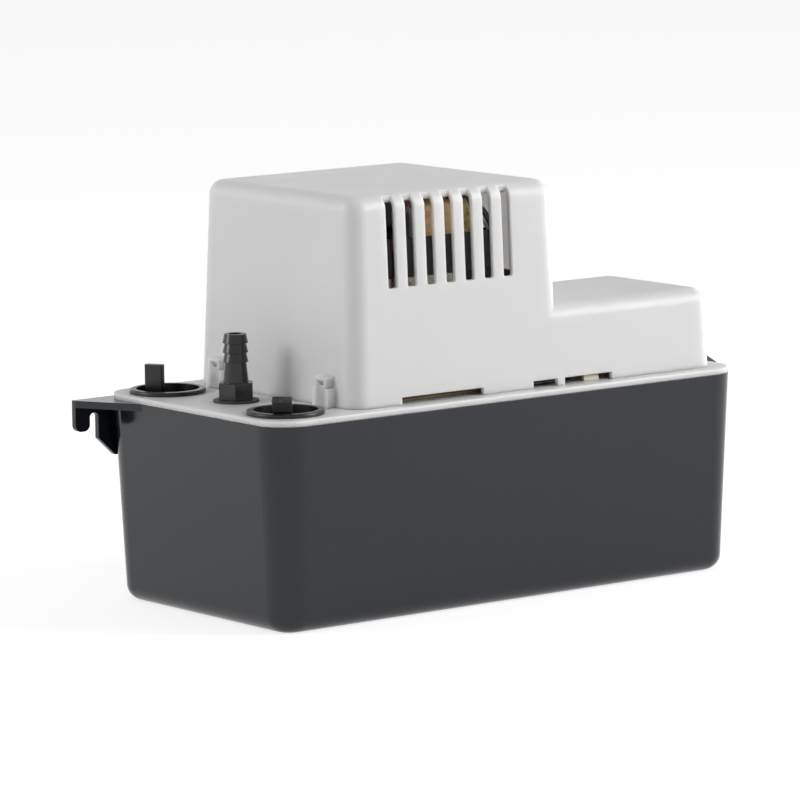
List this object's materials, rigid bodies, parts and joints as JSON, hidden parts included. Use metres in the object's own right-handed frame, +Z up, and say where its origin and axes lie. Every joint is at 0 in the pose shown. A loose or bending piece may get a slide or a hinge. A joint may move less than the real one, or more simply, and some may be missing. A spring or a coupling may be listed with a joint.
{
  "type": "condensate pump",
  "caption": "Tank-mounted condensate pump: vented two-level cover, motor, volute pump and float switches on a deck with plugged inlets, a barbed outlet and wall ears.",
  "frame": {"origin": "on the floor under the middle of the tank, centre of the overall box", "axes": "+X along the tank towards the low part of the cover, +Y towards the wall behind, +Z up"},
  "size_m": [0.28, 0.127, 0.1775],
  "materials": {
    "black_abs": "moulded black ABS, semi-gloss",
    "white_abs": "moulded off-white ABS, satin",
    "black_vinyl": "moulded black polyethylene, semi-gloss",
    "black_nylon": "moulded black nylon, satin",
    "black_rubber": "moulded rubber, matt",
    "natural_plastic": "moulded natural polypropylene, satin",
    "clear_vinyl": "extruded vinyl tube",
    "electrical_steel": "stacked steel sheets, varnished dark",
    "coil_tape": "enamelled copper wire under tan tape",
    "copper": "drawn copper wire",
    "black_steel": "pressed steel, black paint",
    "die_cast": "die-cast alloy, as cast",
    "bronze": "sintered bronze",
    "stainless": "ground stainless steel",
    "plated_steel": "zinc plated steel",
    "float_foam": "closed cell foam, matt",
    "phenolic": "moulded phenolic, matt",
    "vulcanised_fibre": "tan vulcanised fibre sheet",
    "orange_plastic": "moulded orange plastic"
  },
  "bodies": {
    "housing": {"cable_clip": "natural_plastic", "check_valve_body": "natural_plastic", "coil": "coil_tape", "coil_bobbin": "black_nylon", "column_screw_1": "plated_steel", "column_screw_2": "plated_steel", "column_screw_3": "plated_steel", "cord_bushing": "black_rubber", "deck": "white_abs", "discharge_fitting": "black_nylon", "discharge_tube": "clear_vinyl", "fitting_washer": "black_rubber", "float_pin": "stainless", "frame_strap": "black_steel", "insulation_barrier": "vulcanised_fibre", "lower_bearing": "bronze", "lower_bracket": "die_cast", "lower_strap": "plated_steel", "motor_cover": "white_abs", "motor_screw_back_1": "plated_steel", "motor_screw_back_2": "plated_steel", "motor_screw_front_1": "plated_steel", "motor_screw_front_2": "plated_steel", "pump_column": "natural_plastic", "run_switch": "phenolic", "safety_switch": "phenolic", "shading_ring_back": "copper", "shading_ring_front": "copper", "stator_stack": "electrical_steel", "switch_bracket": "plated_steel", "switch_screw_1": "plated_steel", "switch_screw_2": "plated_steel", "tank": "black_abs", "terminal_block": "phenolic", "upper_bearing": "bronze", "upper_bracket": "die_cast", "volute_cover": "natural_plastic", "volute_screw_1": "plated_steel", "volute_screw_2": "plated_steel", "volute_screw_3": "plated_steel", "volute_screw_4": "plated_steel", "wire_connector": "orange_plastic"},
    "rotor": {"rotor_core": "electrical_steel", "motor_shaft": "stainless", "cooling_fan": "black_nylon", "water_slinger": "black_rubber", "impeller": "natural_plastic"},
    "float": {"float_arm": "natural_plastic", "float_body": "float_foam"},
    "run_lever": {"run_lever": "stainless"},
    "safety_lever": {"safety_lever": "stainless"},
    "plug_back": {"inlet_plug_back": "black_vinyl"},
    "plug_front": {"inlet_plug_front": "black_vinyl"},
    "ball": {"check_ball": "natural_plastic"}
  },
  "joints": [
    {"name": "rotor_spin", "type": "hinge", "parent": "housing", "child": "rotor", "pos_m": [-0.028, 0.013, 0.09], "axis": [0, 0, 1], "continuous": true},
    {"name": "float_swing", "type": "hinge", "parent": "housing", "child": "float", "pos_m": [0.075, -0.021, 0.078], "axis": [0, 1, 0], "range_deg": [0, 8]},
    {"name": "run_lever_press", "type": "hinge", "parent": "housing", "child": "run_lever", "pos_m": [0.08406, -0.0269, 0.11678], "axis": [0, 1, 0], "range_deg": [-10, 0]},
    {"name": "safety_lever_press", "type": "hinge", "parent": "housing", "child": "safety_lever", "pos_m": [0.08406, -0.0151, 0.11678], "axis": [0, 1, 0], "range_deg": [-10, 0]},
    {"name": "plug_back_lift", "type": "slide", "parent": "housing", "child": "plug_back", "axis": [0, 0, 1], "range_m": [0, 0.03]},
    {"name": "plug_front_lift", "type": "slide", "parent": "housing", "child": "plug_front", "axis": [0, 0, 1], "range_m": [0, 0.03]},
    {"name": "ball_lift", "type": "slide", "parent": "housing", "child": "ball", "axis": [0, 0, 1], "range_m": [0, 0.004]}
  ]
}
